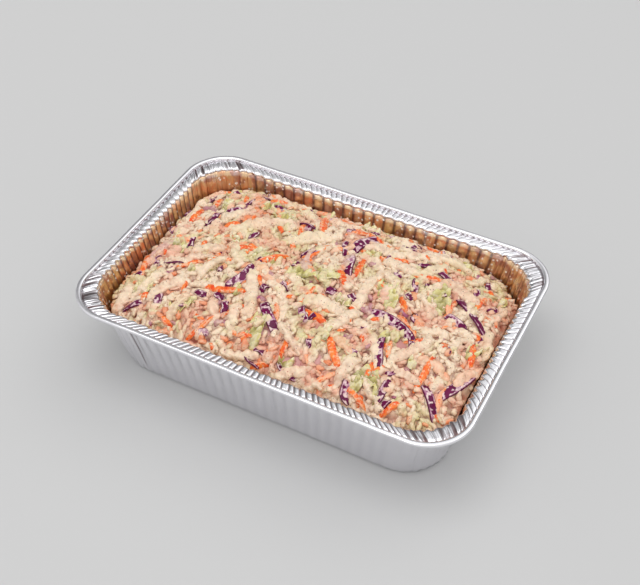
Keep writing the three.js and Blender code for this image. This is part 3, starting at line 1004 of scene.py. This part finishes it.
# The topmost strips, which are laid last, over the carrot and the red cabbage. Rows are as the leaves'.
TOP_SHREDS = (
    (-64, 36, 40, 58, -10, 8.5),
    (-24, 38, 30, 44, 0, 8.5),
    (104, 40, -30, 34, 0, 8),
    (-66, -2, -42, 32, 8, 7),
    (40.5, 6, 98, 44, 20, 7),
    (52, 43, 2, 38, 8, 8.5),
    (82, 71, 10, 38, 0, 8),
    (53.5, 24, -49, 31, 0, 6),
    (20, -22, -4, 46, -8, 8),
    (39, -29, 64, 38, 0, 7),
    (93, -35, 44, 34, 10, 7),
    (60.5, -67.5, -97, 30, 10, 7),
    (136, -30, 74, 38, -10, 6.5),
    (136, 4, 100, 32, 0, 6.5),
    (99, -54, -3, 24, 0, 5),
    (-125, -68, 98, 38, 0, 7.5),
    (-111, -49, 71, 26, 0, 6),
    (-95, -55, 50, 33, 0, 8),
    (-77, -67, 90, 28, 15, 5),
    (-90, -19, 40, 32, 0, 6),
    (-76, -22, 74, 33, 0, 7),
    (-89, -6, 41, 30, 0, 8),
    (-33, -60, 106, 30, 0, 6.5),
    (-34, -36, 112, 52, -8, 8.5),
    (-17, -82, 8, 32, 0, 7),
    (23, -82, 20, 32, 0, 8),
    (12, -59, -38, 33, 10, 6.5),
    (101, -9, 12, 22, 0, 7),
    (106, 67, 69, 22, 0, 5.5),
)
broad_rows = spread(30, TOP_SHREDS, lengths=(22, 42), widths=(5.5, 8), turn=45, clear=2.0, seed=41)
long_rows = np.concatenate([TOP_SHREDS, broad_rows])
short_rows = spread(80, long_rows, lengths=(11, 22), widths=(4, 6.2), turn=45, clear=1.5, seed=43)
add_shreds("white_cabbage_strips", broad_rows, strength=0.4, seed=42)
add_shreds("white_cabbage_shreds", short_rows, strength=0.8, seed=44)

# Carrot: straight-sided bright orange shreds from a grater, pointed at their ends, wet, and smeared with
# dressing. Some lie so deep in it that only peach-coloured patches show. Rows are as the leaves' are.
CARROTS = (
    (-124.5, 35, -88, 31, -10, 5),
    (-129, -36, -66, 44, -18, 5),
    (-93, -27, 38, 23, 8, 5),
    (-54, -40, 12, 42, 40, 6),
    (-36.5, 3, 49, 30, -8, 5.5),
    (-64, 5, 20, 14, 10, 5),
    (-56, 8, -10, 14, 10, 5),
    (-60, 1, 40, 12, 0, 4),
    (-86, 26, 34, 15, 10, 5),
    (-21, 57, -68, 33, 8, 7),
    (20, 7.5, -54, 24, 0, 6),
    (24.5, 27.5, -83, 25, 0, 5),
    (18, -35.5, -18, 27, 5, 6),
    (45, -57, -50, 33, -8, 6),
    (131, -11, -73, 27, 5, 5),
    (114.5, 65, -47, 22, 0, 4.5),
    (118, 41, -100, 26, 30, 5),
    (109.5, -45, -92, 34, 4, 5),
    (100, -80, 49, 18, 0, 5),
    (0, -84, 20, 15, 0, 5),
    (11.5, -67.5, -79, 15, 0, 4),
    (78, 42.5, 8, 37, -45, 4),
    (-97.5, 66, -67, 13, 0, 4),
    (63, 62, -39, 13, 0, 4),
    (82.5, 54, -58, 10, 0, 4),
    (60, 82, -20, 18, 0, 4),
    (68, 78, 10, 12, 0, 4),
    (-106, -65, 30, 10, 0, 5),
    (-80, -80, -20, 12, 0, 5),
)


def carrot_finish():
    """Raw carrot: bright orange, paler in streaks, with smears of dressing where the piece is coated."""
    material, start = finish("carrot")
    coat = start.mark("coat")
    streak = start.noise(3.2, 3)
    across = start.mark("across")
    sides = across.math("ABSOLUTE", across).rise(0.55, 1.0)
    smear = (start.noise(2.2, 3) + coat * 0.22 + sides * 0.12).rise(0.58, 0.68)
    # Painted highlights: small pale dots, a little raised.
    dots = start.specks(1.9, 0.6, 3.1)
    base = streak.rise(0.3, 0.7).mix(colour(238, 76, 20), colour(255, 142, 64))
    base = (smear * 0.8).mix(base, colour(252, 196, 158))
    base = (dots * 0.6).mix(base, colour(255, 206, 178))
    start.surface(
        Base_Color=base,
        Roughness=0.3,
        Specular_IOR_Level=0.35,
        Subsurface_Weight=0.15,
        Subsurface_Radius=(1.2, 0.5, 0.2),
        Subsurface_Scale=0.002,
        Normal=start.bump(start.noise(1.3, 3) + dots * 0.5, 0.35),
    )
    return material


carrot_rows = np.concatenate(
    [
        spread(60, CARROTS, lengths=(6, 13), widths=(2.8, 4.4), turn=30, clear=1.5, seed=61),
        spread(34, CARROTS, lengths=(14, 28), widths=(3.4, 4.8), turn=40, clear=1.5, seed=62),
        CARROTS,
    ]
)
carrot_coat = np.random.default_rng(65).uniform(0, 1, len(carrot_rows))
carrot_coat[-len(CARROTS) :] *= 0.35
carrot_grid, carrot_across, _ = shreds(
    carrot_rows, flat=0.55, steps=24, around=12, square=2.8, sink=0.3, dive=1.0, seed=63, lean=0.35,
    wander=0.5, stiff=3, taper=2.4, knobby=((3.0, 0.7),),
)
carrot_grid = keep_inside(carrot_grid)
carrot_shreds = solid(
    "carrot_shreds",
    *skin(carrot_grid),
    coat=each_point(carrot_grid, carrot_coat),
    across=with_poles(carrot_across),
)
carrot_shreds.data.materials.append(carrot_finish())
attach(carrot_shreds, "root")

# Red cabbage: flat ribbons cut from the head, near black purple with magenta cut edges, and blotted with
# dressing that the purple shows through as lilac. Rows are as the leaves' are.
RED_RIBBONS = (
    (72, -14, -19, 49, -40, 7.5),
    (117.5, 22.5, -35, 40, 0, 7),
    (16.5, 54.5, 66, 28, -12, 9),
    (17, 25, -69, 28, 8, 7),
    (-11, -49.5, -46, 32, 0, 7.5),
    (-47, -24, -105, 32, -50, 8),
    (-88, 65, -110, 31, 50, 4.5),
    (-95, 43.5, 30, 14, 0, 6),
    (-106.5, 30, -93, 20, 0, 6),
    (-106, -4, -67, 15, 10, 6),
    (-64, 20, -90, 16, 0, 4),
    (-14, 25, 41, 21, 0, 6),
    (0, 62.5, -90, 11, 0, 4),
    (5, 41.5, -70, 18, 0, 4),
    (80, 51.5, -12, 41, -45, 5),
    (-113, -76, 40, 16, 0, 6),
    (-68, -50, 20, 9, 0, 5),
    (-55, -46, -30, 10, 0, 5),
    (-45, -54, -70, 14, 0, 5),
    (-95, -66, -63, 10, 0, 6),
    (-50, -78, 8, 8, 0, 5),
    (66, -81, -60, 17, 70, 6),
    (74, -42, -72, 29, 0, 6),
    (121.5, -63, -50, 27, 0, 7),
    (133, -41, 70, 38, 8, 8),
    (109.5, 9.5, -18, 19, 10, 6),
    (18, -8, 10, 8, 0, 6),
    (35, -6, -30, 9, 0, 6),
    (83, -3, -45, 10, 0, 6),
    (-28, -26, 60, 7, 0, 5),
    (-16.5, -17, -16, 9, 0, 5),
)


def ribbon_finish():
    """Red cabbage: dark purple blotted with dressing, and magenta along its cut edges."""
    material, start = finish("red_cabbage")
    across = start.mark("across")
    off_middle = across.math("ABSOLUTE", across)
    blot = (start.noise(4.4, 1) + off_middle.rise(0.40, 0.78) * 0.15).rise(0.515, 0.575)
    tone = start.noise(6, 2)
    dark = tone.mix(colour(66, 0, 40), colour(128, 6, 82))
    pale = start.noise(2.2, 2).rise(0.3, 0.7).mix(colour(164, 92, 132), colour(240, 214, 210))
    edge = off_middle.rise(0.80, 0.95)
    base = (blot * (1 - edge)).mix(dark, pale)
    base = (edge * 0.85).mix(base, colour(96, 6, 62))
    start.surface(
        Base_Color=base,
        Roughness=0.22,
        Specular_IOR_Level=0.25,
        Normal=start.bump(blot + start.noise(1.6, 2) * 0.4, 0.35),
    )
    return material


red_rows = np.concatenate(
    [
        spread(44, RED_RIBBONS, lengths=(5, 10), widths=(3.5, 5.5), turn=30, clear=1.5, seed=71),
        spread(16, RED_RIBBONS, lengths=(12, 20), widths=(4, 6), turn=40, clear=1.5, seed=72),
        RED_RIBBONS,
    ]
)
red_grid, red_across, _ = shreds(
    red_rows, flat=0.26, steps=30, around=16, square=3.4, sink=-0.1, dive=1.6, seed=73, lean=0.3,
    wander=0.6, stiff=3, taper=6, knobby=((3.2, 0.5),),
)
red_grid = keep_inside(red_grid)
red_ribbons = solid("red_cabbage_ribbons", *skin(red_grid), across=with_poles(red_across))
red_ribbons.data.materials.append(ribbon_finish())
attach(red_ribbons, "root")

# The topmost crumbs and strips: coated cabbage that fell last, over the ends and edges of the carrot and
# the red cabbage. Crumbs keep off the middles of the longer ribbons, leaves and carrots, which lie bare.
TOP_SPACING = 5.6
LONG_CARROT = 13
BARE_WITHIN = 4.2

bare_rows = np.concatenate([RED_RIBBONS, GREEN_LEAVES, carrot_rows[carrot_rows[:, 3] > LONG_CARROT]])
bare_x, bare_y, _, _ = shred_paths(bare_rows, steps=9, wander=0, seed=84)
bare = np.stack([bare_x[:, 1:-1].ravel(), bare_y[:, 1:-1].ravel()], axis=-1)
top_rows = scattered(TOP_SPACING, lengths=(4, 9), widths=(3.0, 5.0), bend=60, clear=2.2, seed=85)
top_room = np.linalg.norm(top_rows[:, None, :2] - bare[None], axis=-1).min(axis=1)
top_rows = top_rows[top_room > BARE_WITHIN]
add_crumbs("topmost_crumbs", top_rows, flat=0.55, sink=0.55, strength=0.7, seed=86)
add_shreds("topmost_cabbage_strips", np.array(TOP_SHREDS), strength=0.3, seed=81)

# The slaw's mass: fine cabbage bound in thick dressing, which fills the gaps between the other pieces and
# laps their sides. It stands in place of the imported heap, whose sides and floor it keeps.
MASS_GRID = (380, 250)
FILL_SINK = 1.7
FINE_LUMPS = 1.2
BROAD_LUMPS = 0.9
EDGE_REACH = 3.5
EDGE_DROP = 1.5
# Two loops of the sides below the top's border: shares of its x and y, and height.
MASS_SIDES = ((0.94, 0.91, 22), (0.9, 0.86, 1.0))


def mass_relief(x, y):
    """Height of the mass over a plan point, its painted shade, and how wet it is there, from 0 to 1.

    It is the pile's level over 5 by 5 mm, less the fill's sink, with fine lumps on it. It is lowered at the
    walls, and away from them it takes painted shade where it lies deep under the level over 9 by 9 mm.
    """
    wet = pooled(x, y)
    relief = FINE_LUMPS * (lumps(x, y) - 0.5) + BROAD_LUMPS * (knobs(on_plan(x, y), 5.2, 27) - 0.5)
    filled = level(x, y, 2) - FILL_SINK + relief
    pool = heap(x, y) - BED_SINK + POOL_RISE
    edge = np.clip(1 - inside_by(x, y)[0] / EDGE_REACH, 0, 1)
    height = filled + (pool - filled) * wet - EDGE_DROP * edge**2
    # Painted shade where the mass lies deep under the pile's level, less near the walls.
    hollow = np.clip((level(x, y, 4) - height - 0.7) / 1.8, 0, 1) * (1 - 0.8 * edge)
    return height, hollow * (1 - wet), wet


def mass_surface():
    """The mass as one closed skin: the relief over the tray's plan, its sides, and its flat floor.

    The plan is a rectangular grid of u and v from -1 to 1 with y = v · half width and x = u times the half
    length at that y, so its border runs round the tray's corners.
    """
    half_x, half_y, corner = wall_half(SLAW_EDGE)
    columns, rows = MASS_GRID
    u, v = np.meshgrid(np.linspace(-1, 1, columns), np.linspace(-1, 1, rows))
    y = v * half_y
    past = np.maximum(np.abs(y) - (half_y - corner), 0)
    x = u * (half_x - corner + np.sqrt(corner**2 - past**2))
    relief, hollow, wet = mass_relief(x, y)
    top = keep_inside(np.stack([x, y, relief], axis=-1)).reshape(-1, 3)
    here = np.arange(rows * columns).reshape(rows, columns)
    quads = np.stack([here[:-1, :-1], here[:-1, 1:], here[1:, 1:], here[1:, :-1]], axis=-1).reshape(-1, 4)
    border = np.concatenate([here[0, :-1], here[:-1, -1], here[-1, :0:-1], here[:0:-1, 0]])
    lower, foot = (top[border] * (*share, 0) + (0, 0, height) for *share, height in MASS_SIDES)
    points = np.concatenate([top, lower, foot, [[0, 0, foot[0, 2]]]])
    first = len(top) + np.arange(len(border))
    loops = np.stack([border, first, first + len(border)])
    after = np.roll(loops, -1, axis=1)
    sides = np.stack([loops[:-1], loops[1:], after[1:], after[:-1]], axis=-1).reshape(-1, 4)
    pole = np.full(len(border), len(points) - 1)
    floor = np.stack([pole, after[2], loops[2]], axis=-1)
    under = np.zeros(len(points) - len(top))
    marks = [np.concatenate([mark.ravel(), under]) for mark in (hollow, wet)]
    return points, np.concatenate([quads, sides]), floor, *marks


mass_points, mass_quads, mass_floor, mass_hollow, mass_wet = mass_surface()
slaw_mass = solid(
    "slaw_mass",
    mass_points,
    mass_quads,
    mass_floor,
    tint=tints(mass_points, np.full(len(mass_points), 0.5), 1.0),
    hollow=mass_hollow,
    wet=mass_wet,
)
slaw_mass.data.materials.append(dressing)
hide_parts("coleslaw")
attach(slaw_mass, "root")

# The floor is a plain pale grey sweep, lit by one large soft lamp above the tray, in a room that is pale in
# front and overhead, has a bright window behind to the right, and is dim behind to the left.
FLOOR_REACH = 12.0
FLOOR_GREY = 203
LAMP_PLACE = (-0.5, -0.7, 4.4)
LAMP_SIZE = 3.1
LAMP_POWER = 55.5
FRONT = (0.05, -0.8, 0.35)
WINDOW = (0.35, 0.66, 0.66)
UP = (0.0, 0.0, 1.0)

corners = np.array([(-1, -1, 0), (1, -1, 0), (1, 1, 0), (-1, 1, 0)]) * FLOOR_REACH * 1000
floor = solid("floor", corners, np.array([[0, 1, 2, 3]]), np.empty((0, 3), dtype=int))
floor_material, floor_start = finish("pale_grey_floor")
floor_start.surface(
    Base_Color=colour(FLOOR_GREY, FLOOR_GREY, FLOOR_GREY), Roughness=1.0, Specular_IOR_Level=0.0
)
floor.data.materials.append(floor_material)

softbox = bpy.data.lights.new("key_softbox", "AREA")
softbox.shape = "SQUARE"
softbox.size = LAMP_SIZE
softbox.energy = LAMP_POWER
lamp = bpy.data.objects.new("key_softbox", softbox)
lamp.location = LAMP_PLACE
lamp.rotation_euler = Vector(LAMP_PLACE).to_track_quat("Z", "Y").to_euler()
bpy.context.scene.collection.objects.link(lamp)

room = bpy.data.worlds.new("room")
room.use_nodes = True
room.node_tree.nodes.clear()
room_start = Shade(room.node_tree)
way = room_start.node("TexCoord", output="Generated")


def towards(direction):
    """How far the way looked lies along a direction: the dot product of the two."""
    return room_start.node("VectorMath", {"operation": "DOT_PRODUCT"}, {0: way, 1: direction}, 1)


window = towards(WINDOW)
pane = (window.rise(0.60, 0.86) * 0.62 + window.rise(0.90, 0.97) * 0.5) * towards(UP).rise(0.36, 0.56)
glow = 0.24 + towards(FRONT).rise(-0.45, 0.5) * 0.58 + pane
light = room_start.node("Background", {}, {"Color": (1.0, 1.0, 1.0, 1.0), "Strength": glow})
room_start.node("OutputWorld", {}, {"Surface": light})
bpy.context.scene.world = room
bpy.context.scene.view_settings.view_transform = "Standard"
